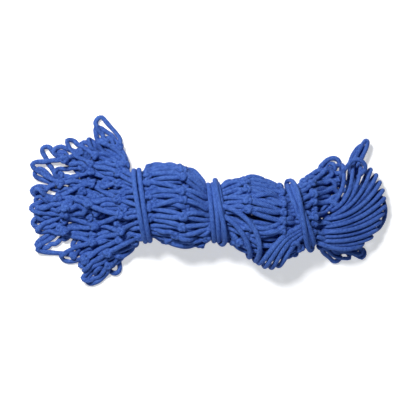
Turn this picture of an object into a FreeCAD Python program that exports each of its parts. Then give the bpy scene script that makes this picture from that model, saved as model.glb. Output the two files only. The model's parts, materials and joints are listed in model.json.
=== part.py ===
import FreeCAD, Part
import math
import os
import sys

# A climbing net of knotted cord, folded in half, gathered into a bundle and bound with three ties.
# From left to right (+X): a splayed fan, a tie, a lobe, a tie, a lobe, a tie and a lashing hank.
# The bundle lies on the floor, Z = 0. Sizes are millimetres and degrees.

SIZES = [
    # cord
    ("cord_diameter", 6.0, "net and lashing cord"),
    ("fold_clearance", 0.6, "between one fold and the next"),
    ("turn_clearance", 0.35, "between a tie's turns, and between them and the neck"),
    ("floor_press", 1.0, "how far the folds are flattened by their weight"),
    # necks, the waists under the ties
    ("neck_height", 38.0, "centre of every neck above the floor"),
    ("neck_taper", 0.75, "height of a fold's end against the neck's, so that the folds clear the turns"),
    ("neck_half_length", 5.0, "along the bundle"),
    ("core_radius", 14.0, "rounded core that the folds turn about"),
    ("core_clearance", 0.5, "core to the middle folds"),
    ("side_setback", 25.0, "neck centre to the side folds, so that the neck can bend"),
    ("left_tie_x", -86.0, ""),
    ("left_tie_y", -7.0, ""),
    ("left_tie_slant", 9.0, ""),
    ("left_neck_half_width", 45.0, ""),
    ("left_neck_half_height", 28.0, ""),
    ("left_tie_turns", 2.0, ""),
    ("middle_tie_x", 14.0, ""),
    ("middle_tie_y", -16.0, ""),
    ("middle_tie_slant", 6.0, ""),
    ("middle_neck_half_width", 35.0, ""),
    ("middle_neck_half_height", 28.0, ""),
    ("middle_tie_turns", 4.0, ""),
    ("right_tie_x", 127.0, ""),
    ("right_tie_y", -20.0, ""),
    ("right_tie_slant", 18.0, ""),
    ("right_neck_half_width", 39.0, ""),
    ("right_neck_half_height", 22.0, ""),
    ("right_tie_turns", 2.0, "side by side, under the crossing turn"),
    ("right_cross_angle", -8.0, "crossing turn against the others"),
    # lobes, the swellings between the ties
    ("lobe_half_height", 40.5, ""),
    ("lobe_height", 39.5, "centre above the floor at the middle of a lobe"),
    ("left_lobe_half_width", 63.0, ""),
    ("left_lobe_shift", 9.0, "middle of the lobe, sideways from the line between its ties"),
    ("right_lobe_half_width", 64.0, ""),
    ("right_lobe_shift", -7.0, ""),
    # fan
    ("fan_root", 36.0, "where the folds' edges meet, past the left neck's centre"),
    ("fan_tip_reach", 190.0, "distance from the fan's root at which the tip heights are given"),
    ("fan_tip_split", 22.6, "height between the plies at the tips"),
    ("fan_tip_top", 44.0, "height of the upper ply at the tips"),
    ("fan_floor_reach", 92.0, "distance from the root at which the fan comes down to the floor"),
    ("fan_edge_1", 54.0, "angle between the folds, from the bundle's far end"),
    ("fan_edge_2", 37.0, ""),
    ("fan_edge_3", 14.0, ""),
    ("fan_edge_4", -16.0, ""),
    ("fan_edge_5", -34.0, ""),
    ("fan_edge_6", -53.0, ""),
    ("peak_reach", 130.5, "from the fan's root to a fold's tip"),
    ("back_reach", 160.0, ""),
    ("left_reach", 180.0, ""),
    ("front_reach", 157.0, ""),
    ("tail_reach", 129.0, ""),
    ("upper_setback", 12.0, "upper folds end short of the lower ones"),
    # open meshes along the edges
    ("mesh_radius", 8.0, "bend of an edge mesh's cord, to its centre line"),
    ("mesh_leg", 4.0, "straight part of an edge mesh"),
    # right end
    ("end_root", 30.0, "where the end folds' edges meet, before the right neck's centre"),
    ("end_edge_1", 50.0, "angle of the back fold's outer edge"),
    ("end_edge_2", 26.4, "angle of the back fold's inner edge"),
    ("end_back_reach", 118.0, "from the end's root to the back fold's tip"),
    ("end_tip_split", 22.6, ""),
    ("curl_offset", 12.0, "curl bight, along the back fold's tip"),
    ("end_tip_top", 46.0, ""),
    ("hank_end_x", 220.3, "flat end of the hank, where the rim cord leaves it"),
    ("hank_end_y", -14.0, ""),
    ("hank_bow", -17.2, "middle of the hank, sideways from the line between its ends"),
    ("hank_half_width", 41.0, "widest"),
    ("hank_half_height", 22.0, "highest"),
    ("hank_end_half_width", 31.0, ""),
    ("hank_end_half_height", 14.0, ""),
    ("rim_radius", 22.0, "bend of the rim cord, to its centre line"),
    ("front_mesh_x", 170.0, "stray meshes along the front"),
    ("front_mesh_y", -71.8, ""),
    ("front_mesh_angle", -8.0, ""),
    ("front_mesh_length", 38.0, ""),
    ("front_mesh_half_width", 9.0, ""),
    ("front_mesh_half_height", 8.5, ""),
    ("knot_radius", 6.5, "knot that holds the tuft"),
    ("knot_offset", -10.0, "along the back fold's tip"),
    ("knot_clearance", 0.3, ""),
    ("tuft_inset", 0.5, "the loops' ends, behind the front of the knot"),
    ("tuft_length", 27.0, "straight part of a loop"),
    ("tuft_radius", 6.0, "bend of a loop, to its centre line"),
    ("tuft_angle", 78.0, "direction of the tuft, from +X"),
    ("loop_clearance", 0.35, "between the tuft's loops"),
]

# How a lobe swells from its necks to its middle, by distance along it.
STATIONS = (0.0, 0.12, 0.3, 0.5, 0.7, 0.88, 1.0)
PLIES = (("upper", 1.0), ("lower", -1.0))
SIDES = (("back", 1.0), ("middle", 0.0), ("front", -1.0))
SIDE_HEIGHT = 0.8
MIDDLE_SHARE = 0.42
SIDE_SHARE = (1.0 - MIDDLE_SHARE) / 2.0

# Larger than any half size: an ellipse takes its short half size only below its long one.
BIG = 1000.0

doc = FreeCAD.newDocument("CargoNet")
sheet = doc.addObject("Spreadsheet::Sheet", "Sizes")
for row, (alias, value, note) in enumerate(SIZES, start=1):
    sheet.set("A%d" % row, str(value))
    sheet.setAlias("A%d" % row, alias)
    sheet.set("B%d" % row, note)
doc.recompute()

parts = []


def size(alias):
    return float(getattr(sheet, alias))


def keep(thing, name):
    """Mark a finished object as a piece of the net, written to a file of its own name."""
    thing.Label = name
    parts.append(thing)
    return thing


def section(name, centre, heading, half_width, half_height):
    """An upright elliptical section, across the given heading. The half sizes are expressions.

    Its outline always starts at the same side, so that wide and tall sections loft without a twist."""
    ellipse = doc.addObject("Part::Ellipse", name)
    turn = FreeCAD.Rotation(heading + 90.0, 0.0, 90.0)
    long_half, short_half = half_width, half_height
    if ellipse.evalExpression(half_height) > ellipse.evalExpression(half_width):
        turn = turn.multiply(FreeCAD.Rotation(90.0, 0.0, 0.0))
        long_half, short_half = half_height, half_width
        ellipse.Angle1 = 270.0
        ellipse.Angle2 = 270.0
    ellipse.MajorRadius = BIG
    ellipse.Placement = FreeCAD.Placement(FreeCAD.Vector(*centre), turn)
    ellipse.setExpression("MajorRadius", long_half)
    ellipse.setExpression("MinorRadius", short_half)
    return ellipse


def loft(name, sections):
    solid = doc.addObject("Part::Loft", name)
    solid.Sections = sections
    solid.Solid = True
    solid.Ruled = False
    return solid


floor_block = doc.addObject("Part::Box", "FloorBlock")
floor_block.Length = 2.0 * BIG
floor_block.Width = 2.0 * BIG
floor_block.Height = BIG
floor_block.Placement.Base = FreeCAD.Vector(-BIG, -BIG, -BIG)


def flatten(name, solid):
    """The solid as it lies pressed flat on the floor."""
    cut = doc.addObject("Part::Cut", name)
    cut.Base = solid
    cut.Tool = floor_block
    return cut


def polar(root, heading, reach):
    angle = math.radians(heading)
    return root[0] + reach * math.cos(angle), root[1] + reach * math.sin(angle)


def blend(start, end, share):
    return start + (end - start) * share


class Tie:
    def __init__(self, name):
        self.name = name
        self.centre = (size(name + "_tie_x"), size(name + "_tie_y"))
        self.slant = size(name + "_tie_slant")
        self.half_width = size(name + "_neck_half_width")
        self.half_height = size(name + "_neck_half_height")
        self.turns = int(size(name + "_tie_turns"))

    def placement(self, offset=0.0, twist=0.0):
        """The tie's own frame: local Z runs along the bundle, local X across it."""
        x, y = polar(self.centre, self.slant, offset)
        turn = FreeCAD.Rotation(self.slant + twist + 90.0, 0.0, 90.0)
        return FreeCAD.Placement(FreeCAD.Vector(x, y, size("neck_height")), turn)


TIES = {name: Tie(name) for name in ("left", "middle", "right")}


# --- ties: a neck of gathered cord, and the turns of cord that bind it --------------------------


def make_neck(tie):
    outline = doc.addObject("Part::Ellipse", tie.name + "NeckOutline")
    outline.MajorRadius = BIG
    outline.setExpression("MajorRadius", "Sizes.%s_neck_half_width" % tie.name)
    outline.setExpression("MinorRadius", "Sizes.%s_neck_half_height" % tie.name)
    outline.Placement = tie.placement(-size("neck_half_length"))
    disc = doc.addObject("Part::Extrusion", tie.name + "NeckDisc")
    disc.Base = outline
    disc.DirMode = "Normal"
    disc.Solid = True
    disc.setExpression("LengthFwd", "2 * Sizes.neck_half_length")
    core = doc.addObject("Part::Sphere", tie.name + "NeckCore")
    core.setExpression("Radius", "Sizes.core_radius")
    core.Placement = tie.placement()
    neck = doc.addObject("Part::Fuse", tie.name + "Neck")
    neck.Base = disc
    neck.Tool = core
    keep(neck, tie.name + "_tie_neck")


def make_turn(tie, number, offset, layer, twist):
    """One turn of cord round the neck. Layer 0 lies on the net, layer 1 on the turns below it."""
    label = "%s_tie_turn_%d" % (tie.name, number)
    lift = "(%g * (Sizes.cord_diameter + Sizes.turn_clearance) + Sizes.cord_diameter / 2" % layer
    lift += " + Sizes.turn_clearance)"
    path = doc.addObject("Part::Ellipse", label + "_path")
    path.MajorRadius = BIG
    path.setExpression("MajorRadius", "Sizes.%s_neck_half_width + %s" % (tie.name, lift))
    path.setExpression("MinorRadius", "Sizes.%s_neck_half_height + %s" % (tie.name, lift))
    frame = tie.placement(offset, twist)
    path.Placement = frame
    profile = doc.addObject("Part::Circle", label + "_profile")
    profile.setExpression("Radius", "Sizes.cord_diameter / 2")
    doc.recompute()
    start = FreeCAD.Placement(
        FreeCAD.Vector(path.MajorRadius.Value, 0, 0), FreeCAD.Rotation(FreeCAD.Vector(1, 0, 0), 90)
    )
    profile.Placement = frame.multiply(start)
    ring = doc.addObject("Part::Sweep", label + "_sweep")
    ring.Sections = [profile]
    ring.Spine = (path, ["Edge1"])
    ring.Solid = True
    ring.Frenet = True
    keep(ring, label)


def make_tie(tie):
    make_neck(tie)
    pitch = size("cord_diameter") + size("turn_clearance")
    for number in range(tie.turns):
        offset = pitch * (number - (tie.turns - 1) / 2.0)
        make_turn(tie, number + 1, offset, 0, 0.0)


for tie in TIES.values():
    make_tie(tie)
make_turn(TIES["right"], TIES["right"].turns + 1, 0.0, 1, size("right_cross_angle"))


# --- lobes: two plies of three folds each, from one neck to the next ----------------------------


def make_lobe_fold(name, left, right, ply, ply_sign, side, side_sign):
    """Every fold is part of one shape, so the shares are of the same line for all of them."""
    label = "%s_lobe_%s_%s" % (name, ply, side)
    nose = size("core_radius") + size("core_clearance")
    setback = size("side_setback") if side_sign else nose
    span = math.dist(left.centre, right.centre)
    line = math.degrees(math.atan2(right.centre[1] - left.centre[1], right.centre[0] - left.centre[0]))
    lean = [span * math.cos(math.radians(tie.slant - line)) for tie in (left, right)]
    first, last = setback / lean[0], 1.0 - setback / lean[1]
    start, end = nose / lean[0], 1.0 - nose / lean[1]
    taper = size("neck_taper")
    clear = "Sizes.fold_clearance / 2"
    rings = []
    for number, station in enumerate(STATIONS):
        share = blend(first, last, station)
        grown = math.sin(math.pi * (share - start) / (end - start))
        neck = taper * blend(left.half_width, right.half_width, share)
        width = blend(neck, size(name + "_lobe_half_width"), grown)
        neck = taper * blend(left.half_height, right.half_height, share)
        height = blend(neck, size("lobe_half_height"), grown)
        middle = blend(size("neck_height"), size("lobe_height"), grown)
        heading = blend(left.slant, right.slant, share)
        along = [blend(a, b, share) for a, b in zip(left.centre, right.centre)]
        shift = grown * size(name + "_lobe_shift")
        across = side_sign * width * (MIDDLE_SHARE + SIDE_SHARE) + shift
        x, y = polar(along, heading + 90.0, across)
        z = middle + ply_sign * height / 2.0
        half_width = "%.6f * %g - %s" % (width, SIDE_SHARE if side_sign else MIDDLE_SHARE, clear)
        flat = SIDE_HEIGHT if side_sign else 1.0
        half_height = "(%.6f / 2 - %s) * %g" % (height, clear, flat)
        rings.append(section("%s_%d" % (label, number), (x, y, z), heading, half_width, half_height))
    solid = loft(label + "_loft", rings)
    if ply_sign < 0:
        solid = flatten(label + "_flat", solid)
    keep(solid, label)


def make_lobe(name, left, right):
    for ply, ply_sign in PLIES:
        for side, side_sign in SIDES:
            make_lobe_fold(name, left, right, ply, ply_sign, side, side_sign)


make_lobe("left", TIES["left"], TIES["middle"])
make_lobe("right", TIES["middle"], TIES["right"])


# --- spread folds: straight folds that widen from a common root ---------------------------------


def spread_heights(tie, reach, start, tip_reach, tip_split, tip_top):
    """Heights of the floor side, the split between the plies and the top, at a distance."""
    share = (reach - start) / (tip_reach - start)
    sunk = min(1.0, (reach - start) / (size("fan_floor_reach") - start))
    rise = size("neck_taper") * tie.half_height
    split = blend(size("neck_height"), tip_split, share)
    top = blend(size("neck_height") + rise, tip_top, share)
    bottom = blend(size("neck_height") - rise, -size("floor_press"), sunk)
    return bottom, split, top


def make_spread_fold(label, root, axis, edges, first, last, heights, ply_sign):
    """A fold between two edge angles, from the first to the last distance from the root."""
    heading = axis + (edges[0] + edges[1]) / 2.0
    half_angle = math.radians(abs(edges[0] - edges[1]) / 2.0)
    rings = []
    stops = 5
    clear = size("fold_clearance") / 2.0
    centre = (0.0, 0.0, 0.0)
    for number in range(stops):
        reach = blend(first, last, number / (stops - 1.0))
        bottom, split, top = heights(reach)
        low, high = (split + clear, top) if ply_sign > 0 else (bottom, split - clear)
        x, y = polar(root, heading, reach)
        centre = (x, y, (low + high) / 2.0)
        half_width = "%.6f * tan(%.6f) - Sizes.fold_clearance / 2" % (reach, math.degrees(half_angle))
        half_height = "%.6f" % ((high - low) / 2.0)
        if reach * math.tan(half_angle) - clear < (high - low) / 2.0:
            half_height = half_width
        rings.append(section("%s_%d" % (label, number), centre, heading, half_width, half_height))
    solid = loft(label + "_loft", rings)
    if ply_sign < 0:
        solid = flatten(label + "_flat", solid)
    keep(solid, label)
    return centre, heading


def tube_loop(label, centre, heading, across, radius, leg):
    """A hairpin of cord lying flat: two legs that start at the centre's plane, and a half ring."""
    side = FreeCAD.Vector(*polar((0.0, 0.0), heading + 90.0, 1.0), 0.0)
    ahead = FreeCAD.Vector(*polar((0.0, 0.0), heading, 1.0), 0.0)
    base = FreeCAD.Vector(*centre) + side * across
    upright = FreeCAD.Rotation(heading, 0.0, 0.0)
    bend = doc.addObject("Part::Torus", label + "_bend")
    bend.setExpression("Radius1", "Sizes." + radius)
    bend.setExpression("Radius2", "Sizes.cord_diameter / 2")
    bend.Angle3 = 180.0
    turned = upright.multiply(FreeCAD.Rotation(-90, 0, 0))
    bend.Placement = FreeCAD.Placement(base + ahead * size(leg), turned)
    legs = []
    for number, sign in enumerate((1.0, -1.0)):
        tube = doc.addObject("Part::Cylinder", "%s_leg_%d" % (label, number))
        tube.setExpression("Radius", "Sizes.cord_diameter / 2")
        tube.setExpression("Height", "Sizes." + leg)
        turn = FreeCAD.Rotation(FreeCAD.Vector(0, 0, 1), ahead)
        tube.Placement = FreeCAD.Placement(base + side * (sign * size(radius)), turn)
        legs.append(tube)
    whole = doc.addObject("Part::MultiFuse", label)
    whole.Shapes = [bend] + legs
    return whole


def edge_meshes(label, centre, heading, offsets):
    loops = []
    for number, across in enumerate(offsets):
        name = "%s_%d" % (label, number)
        loops.append(tube_loop(name, centre, heading, across, "mesh_radius", "mesh_leg"))
    if len(loops) == 1:
        keep(loops[0], label)
        return
    group = doc.addObject("Part::Compound", label + "_group")
    group.Links = loops
    keep(group, label)


left = TIES["left"]
fan_axis = left.slant + 180.0
fan_centre = polar(left.centre, left.slant, size("fan_root"))
fan_start = size("fan_root") + size("core_radius") + size("core_clearance")


def fan_heights(reach):
    tips = (size("fan_tip_split"), size("fan_tip_top"))
    return spread_heights(left, reach, fan_start, size("fan_tip_reach"), *tips)


def fan_edges(number):
    """Edge angles of one fold, measured about the world's -X, turned to the fan's own axis."""
    pair = (size("fan_edge_%d" % number), size("fan_edge_%d" % (number + 1)))
    return tuple(-angle - left.slant for angle in pair)


def clear_start(tie, root, edges):
    """The distance at which a fold starts, clear of the tie that it bends about."""
    nose = size("core_radius") + size("core_clearance")
    outer, inner = sorted((abs(edges[0]), abs(edges[1])), reverse=True)
    heading = math.radians((edges[0] + edges[1]) / 2.0)
    if edges[0] * edges[1] < 0:
        return root * math.cos(heading) + nose
    beside = tie.half_width + 2.0 * (size("cord_diameter") + size("turn_clearance"))
    by_corner = (root + nose) / math.cos(math.radians(outer))
    by_corner *= math.cos(math.radians((outer - inner) / 2.0))
    past_turns = (root + nose) * math.cos(heading) + beside * abs(math.sin(heading))
    return min(by_corner, past_turns)


FAN_FOLDS = (("peak", 1), ("back", 2), ("left", 3), ("front", 4), ("tail", 5))
for name, number in FAN_FOLDS:
    edges = fan_edges(number)
    reach = size(name + "_reach")
    start = clear_start(left, size("fan_root"), edges)
    label = "fan_lower_" + name
    tip = make_spread_fold(label, fan_centre, fan_axis, edges, start, reach, fan_heights, -1.0)
    half = reach * math.tan(math.radians(abs(edges[0] - edges[1]) / 2))
    spacing = 2.0 * (size("mesh_radius") + size("cord_diameter"))
    offsets = (-spacing / 2, spacing / 2) if half > spacing else (0.0,)
    edge_meshes("fan_%s_edge_meshes" % name, tip[0], tip[1], offsets)
for name, number in FAN_FOLDS[1:4]:
    edges = fan_edges(number)
    reach = size(name + "_reach") - size("upper_setback")
    start = clear_start(left, size("fan_root"), edges)
    make_spread_fold("fan_upper_" + name, fan_centre, fan_axis, edges, start, reach, fan_heights, 1.0)


# --- right end: netting behind, the hank of lashing cord in front -------------------------------

right = TIES["right"]
end_centre = polar(right.centre, right.slant, -size("end_root"))
end_start = size("end_root") + size("core_radius") + size("core_clearance")


def end_heights(reach):
    tips = (size("end_tip_split"), size("end_tip_top"))
    return spread_heights(right, reach, end_start, size("end_back_reach"), *tips)


end_edges = (size("end_edge_1") - right.slant, size("end_edge_2") - right.slant)
back_start = clear_start(right, size("end_root"), end_edges)
for ply, sign in PLIES:
    label = "end_%s_back" % ply
    reach = size("end_back_reach")
    fold = (label, end_centre, right.slant, end_edges, back_start, reach, end_heights, sign)
    back_tip = make_spread_fold(*fold)
    if sign > 0:
        edge_meshes("curl_bight", back_tip[0], back_tip[1], (size("curl_offset"),))

# The hank runs from the core to its flat end, widening and then closing again. By this share of
# the way it has come down from the tie's height to the floor.
HANK_ON_FLOOR = 0.45
HANK = (
    # share of the way, share of the widest half width, share of the highest half height
    (0.0, 0.30, 0.50),
    (0.2, 0.52, 0.80),
    (HANK_ON_FLOOR, 0.84, 1.0),
    (0.7, 1.0, 1.0),
)
hank_first = polar(right.centre, right.slant, size("core_radius") + size("core_clearance"))
hank_last = (size("hank_end_x"), size("hank_end_y"))
hank_rings = []
for number, (share, wide, high) in enumerate(HANK):
    heading = right.slant * (1.0 - share)
    x = blend(hank_first[0], hank_last[0], share)
    y = blend(hank_first[1], hank_last[1], share) + size("hank_bow") * math.sin(math.pi * share)
    tall = high * size("hank_half_height")
    rest = tall - size("floor_press")
    z = blend(size("neck_height"), rest, min(1.0, share / HANK_ON_FLOOR))
    half_width = "%g * Sizes.hank_half_width" % wide
    half_height = "%g * Sizes.hank_half_height" % high
    hank_rings.append(section("hank_%d" % number, (x, y, z), heading, half_width, half_height))
hank_z = size("hank_end_half_height") - size("floor_press")
end_halves = ("Sizes.hank_end_half_width", "Sizes.hank_end_half_height")
hank_rings.append(section("hank_end", (*hank_last, hank_z), 0.0, *end_halves))
hank = keep(flatten("hank_flat", loft("hank_loft", hank_rings)), "lashing_hank")

rim_centre = (hank_last[0], hank_last[1], hank_z)
keep(tube_loop("rim_bight_loop", rim_centre, 0.0, 0.0, "rim_radius", "loop_clearance"), "rim_bight")

# Stray meshes along the front edge, lying on the floor beside the hank.
front_heading = size("front_mesh_angle")
front_first = (size("front_mesh_x"), size("front_mesh_y"))
front_last = polar(front_first, front_heading, size("front_mesh_length"))
front_rings = []
# share of the way along the stray meshes, share of their widest half width
FRONT = ((0.0, 0.7), (0.35, 1.0), (0.7, 1.0), (1.0, 0.75))
for number, (share, wide) in enumerate(FRONT):
    x = blend(front_first[0], front_last[0], share)
    y = blend(front_first[1], front_last[1], share)
    z = wide * size("front_mesh_half_height") - size("floor_press")
    half_width = "%g * Sizes.front_mesh_half_width" % wide
    half_height = "%g * Sizes.front_mesh_half_height" % wide
    front_rings.append(section("front_%d" % number, (x, y, z), front_heading, half_width, half_height))
keep(flatten("front_flat", loft("front_loft", front_rings)), "end_front_meshes")

# The tuft: two hairpins of spare cord that stand out from a knot at the back fold's tip.
tip_point, tip_heading = back_tip
knot_xy = polar(tip_point[:2], tip_heading + 90.0, size("knot_offset"))
knot_xy = polar(knot_xy, tip_heading, size("knot_radius") + size("knot_clearance"))
knot_z = tip_point[2]
knot = doc.addObject("Part::Sphere", "TuftKnot")
knot.setExpression("Radius", "Sizes.knot_radius")
knot.Placement.Base = FreeCAD.Vector(*knot_xy, knot_z)
keep(knot, "tuft_knot")
for name, sign in (("upper", 1.0), ("lower", -1.0)):
    x, y = polar(knot_xy, size("tuft_angle"), size("knot_radius") - size("tuft_inset"))
    z = knot_z + sign * (size("cord_diameter") + size("loop_clearance")) / 2.0
    label = "tuft_%s_loop" % name
    loop = tube_loop(label + "_tube", (x, y, z), size("tuft_angle"), 0.0, "tuft_radius", "tuft_length")
    keep(loop, label)


# --- write ---------------------------------------------------------------------------------------

doc.recompute()
bad = [o.Name for o in doc.Objects if "Invalid" in o.State or "Error" in o.State]
for piece in parts:
    if piece.Shape.isNull() or not piece.Shape.isValid():
        bad.append(piece.Label)
if bad:
    print("failed: " + ", ".join(bad))
    sys.exit(1)
os.makedirs("parts", exist_ok=True)
for piece in parts:
    piece.Shape.exportStep(os.path.join("parts", piece.Label + ".step"))
print(len(parts), "pieces")
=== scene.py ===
import bpy
import json
import math
import numpy as np
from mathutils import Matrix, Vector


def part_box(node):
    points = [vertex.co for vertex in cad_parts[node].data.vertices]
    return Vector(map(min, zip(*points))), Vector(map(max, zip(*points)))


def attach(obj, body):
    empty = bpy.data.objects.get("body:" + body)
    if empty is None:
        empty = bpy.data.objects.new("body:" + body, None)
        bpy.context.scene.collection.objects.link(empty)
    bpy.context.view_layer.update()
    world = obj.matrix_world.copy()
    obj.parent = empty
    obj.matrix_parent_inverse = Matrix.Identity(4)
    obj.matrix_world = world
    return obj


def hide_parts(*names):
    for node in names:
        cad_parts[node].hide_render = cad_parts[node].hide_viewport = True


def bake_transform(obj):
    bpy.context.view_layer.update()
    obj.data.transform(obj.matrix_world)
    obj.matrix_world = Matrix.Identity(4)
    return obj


# A knotted net of blue braided cord, gathered lengthwise and bound with three ties. Its left end is splayed
# out in a fan, and at its right end a long lashing cord lies in a hank. The cords are worked out in
# millimetres, and the meshes are made in metres.

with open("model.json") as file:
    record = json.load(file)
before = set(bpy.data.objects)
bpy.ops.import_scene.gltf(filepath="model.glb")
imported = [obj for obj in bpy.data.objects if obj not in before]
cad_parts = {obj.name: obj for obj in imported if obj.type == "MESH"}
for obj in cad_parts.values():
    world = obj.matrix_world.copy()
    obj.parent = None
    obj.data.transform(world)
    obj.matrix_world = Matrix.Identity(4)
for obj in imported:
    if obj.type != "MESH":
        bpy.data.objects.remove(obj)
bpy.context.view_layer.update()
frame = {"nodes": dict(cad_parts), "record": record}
rng = np.random.default_rng(11)
MM = 1000.0         # millimetres in a metre
UP = np.array([0.0, 0.0, 1.0])

# ------------------------------------------------------------------------
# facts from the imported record: the ties' centres and slants, and the knot of the tuft
# ------------------------------------------------------------------------
JOINTS = {j["name"]: j for j in frame["record"]["behaviour"]["joints"]}


def joint_mm(name):
    return np.array(JOINTS[name]["pos_m"]) * MM


def metres(p):
    return tuple(float(v) / MM for v in p)


class Tie:
    """A neck that the bundle is tied at: its centre, half sizes and directions along and across it.

    swing is the joint at its centre, and bend the joint whose axis lies across it."""

    def __init__(self, neck, swing, bend):
        self.centre = joint_mm(swing)
        low, high = (np.array(corner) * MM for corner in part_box(neck))
        axis = JOINTS[bend]["axis"]
        slant = math.atan2(-axis[0], axis[1])
        self.half_height = (high[2] - low[2]) / 2.0
        self.half_width = (high[1] - low[1]) / 2.0 / math.cos(slant)
        self.along = np.array([math.cos(slant), math.sin(slant), 0.0])
        self.across = np.array([-math.sin(slant), math.cos(slant), 0.0])

    def section(self, p, margin):
        """Where points p lie along, across and above the centre, and how far out each is in the section.

        The last is 1 on an oval that is wider than the neck by the margin."""
        rel = p - self.centre
        s, y, z = rel @ self.along, rel @ self.across, rel[:, 2]
        out = np.sqrt((y / (self.half_width + margin)) ** 2 + (z / (self.half_height + margin)) ** 2)
        return s, y, z, out

    def points(self, s, y, z):
        return self.centre + self.along * s[:, None] + self.across * y[:, None] + UP * z[:, None]


LEFT = Tie("left_tie_neck", "left_tie_swing", "fan_lift")
MIDDLE = Tie("middle_tie_neck", "middle_tie_swing", "right_lobe_lift")
RIGHT = Tie("right_tie_neck", "right_tie_swing", "hank_lift")
TIES = (LEFT, MIDDLE, RIGHT)
KNOT = joint_mm("tuft_lift")

CORD = 6.0          # diameter
NET_R = 3.45        # half the width of the net's cord, which is braided flat
TIED_R = 2.9        # the same in the ties, which squeeze it
SWEEP_R = 3.5       # the same of the knotless cords over the right lobe
KNOT_R = 2.95       # the same in a knot
TURN_R = 3.35       # the same of the ties' cord
BAR = 47.0          # cord from one knot of the net to the next
ROW = 42.5          # the same along the bundle, where the cord lies wavy
SPAN = RIGHT.centre[0] - LEFT.centre[0]
LOWEST = CORD / 2 + 0.1     # height of a cord's middle when it lies on the floor
CORE = 38.0         # height of the bundle's middle

# ------------------------------------------------------------------------
# camera, floor and light
# ------------------------------------------------------------------------
scene = bpy.context.scene
scene.view_settings.view_transform = "Standard"


def link_object(name, data, location=(0.0, 0.0, 0.0)):
    ob = bpy.data.objects.new(name, data)
    ob.location = location
    scene.collection.objects.link(ob)
    return ob


def make_camera():
    """Looks straight down on the bundle."""
    data = bpy.data.cameras.new("Camera")
    data.lens = 100.0
    data.sensor_width = 36.0
    scene.camera = link_object("Camera", data, (-0.0081, 0.0007, 1.535))


make_camera()


def new_material(name):
    mat = bpy.data.materials.new(name)
    mat.use_nodes = True
    nt = mat.node_tree
    for n in list(nt.nodes):
        nt.nodes.remove(n)
    return mat, nt


def seen_ray(tree):
    """1 for rays that look at a surface, straight or in gloss or glass, and 0 for those that light it."""
    path = tree.nodes.new("ShaderNodeLightPath")
    either = None
    for ray in ("Is Camera Ray", "Is Glossy Ray", "Is Transmission Ray"):
        if either is None:
            either = path.outputs[ray]
            continue
        pick = tree.nodes.new("ShaderNodeMath")
        pick.operation = "MAXIMUM"
        tree.links.new(either, pick.inputs[0])
        tree.links.new(path.outputs[ray], pick.inputs[1])
        either = pick.outputs[0]
    return either


def floor_material():
    """Pale and matt, with a glow of its own that lights nothing else."""
    mat, nt = new_material("floor")
    new, link = nt.nodes.new, nt.links.new
    out = new("ShaderNodeOutputMaterial")
    diff = new("ShaderNodeBsdfDiffuse")
    diff.inputs["Color"].default_value = (0.90, 0.90, 0.905, 1.0)
    noise = new("ShaderNodeTexNoise")
    noise.inputs["Scale"].default_value = 60.0
    bump = new("ShaderNodeBump")
    bump.inputs["Strength"].default_value = 0.02
    link(noise.outputs["Fac"], bump.inputs["Height"])
    link(bump.outputs["Normal"], diff.inputs["Normal"])
    glow = new("ShaderNodeEmission")
    glow.inputs["Color"].default_value = (1.0, 1.0, 1.0, 1.0)
    # The floor pales to the backdrop's white away from the object, wherever it is seen from.
    place_on_floor = new("ShaderNodeTexCoord")
    distance = new("ShaderNodeVectorMath")
    distance.operation = "LENGTH"
    link(place_on_floor.outputs["Object"], distance.inputs[0])
    pale = new("ShaderNodeMapRange")
    pale.inputs["From Min"].default_value = 0.45
    pale.inputs["From Max"].default_value = 1.3
    pale.inputs["To Min"].default_value = 0.5
    pale.inputs["To Max"].default_value = 1.0
    link(distance.outputs["Value"], pale.inputs["Value"])
    link(pale.outputs["Result"], glow.inputs["Strength"])
    dark = new("ShaderNodeEmission")
    dark.inputs["Strength"].default_value = 0.0
    mix = new("ShaderNodeMixShader")
    link(seen_ray(nt), mix.inputs[0])
    link(dark.outputs[0], mix.inputs[1])
    link(glow.outputs[0], mix.inputs[2])
    add = new("ShaderNodeAddShader")
    link(diff.outputs[0], add.inputs[0])
    link(mix.outputs[0], add.inputs[1])
    link(add.outputs[0], out.inputs["Surface"])
    return mat


def make_floor():
    half = 4.0
    mesh = bpy.data.meshes.new("floor")
    corners = [(-half, -half, 0.0), (half, -half, 0.0), (half, half, 0.0), (-half, half, 0.0)]
    mesh.from_pydata(corners, [], [(0, 1, 2, 3)])
    mesh.materials.append(floor_material())
    link_object("floor", mesh, (0.0, 0.0, -0.0004))


def area_light(name, place, size, power, colour=(1.0, 1.0, 1.0)):
    """A square lamp that shines towards the origin."""
    data = bpy.data.lights.new(name, "AREA")
    data.shape = "SQUARE"
    data.size = size
    data.energy = power
    data.color = colour
    x, y, z = place
    ob = link_object(name, data, place)
    ob.rotation_euler = (math.atan2(math.hypot(x, y), z), 0.0, math.atan2(x, -y))


def make_world():
    """A faint light from all round, before a white backdrop."""
    world = bpy.data.worlds.new("World")
    world.use_nodes = True
    nodes, links = world.node_tree.nodes, world.node_tree.links
    ambient = nodes["Background"]
    ambient.inputs["Color"].default_value = (0.75, 0.88, 1.0, 1.0)
    ambient.inputs["Strength"].default_value = 0.035
    backdrop = nodes.new("ShaderNodeBackground")
    backdrop.inputs["Color"].default_value = (1.0, 1.0, 1.0, 1.0)
    backdrop.inputs["Strength"].default_value = 1.0
    choose = nodes.new("ShaderNodeMixShader")
    links.new(seen_ray(world.node_tree), choose.inputs[0])
    links.new(ambient.outputs[0], choose.inputs[1])
    links.new(backdrop.outputs[0], choose.inputs[2])
    links.new(choose.outputs[0], nodes["World Output"].inputs["Surface"])
    scene.world = world


make_floor()
area_light("key", (-0.55, 0.8, 1.5), 0.4, 34.0)
area_light("fill", (0.5, -1.3, 0.8), 1.0, 5.0, (0.8, 0.9, 1.0))
make_world()

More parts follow.
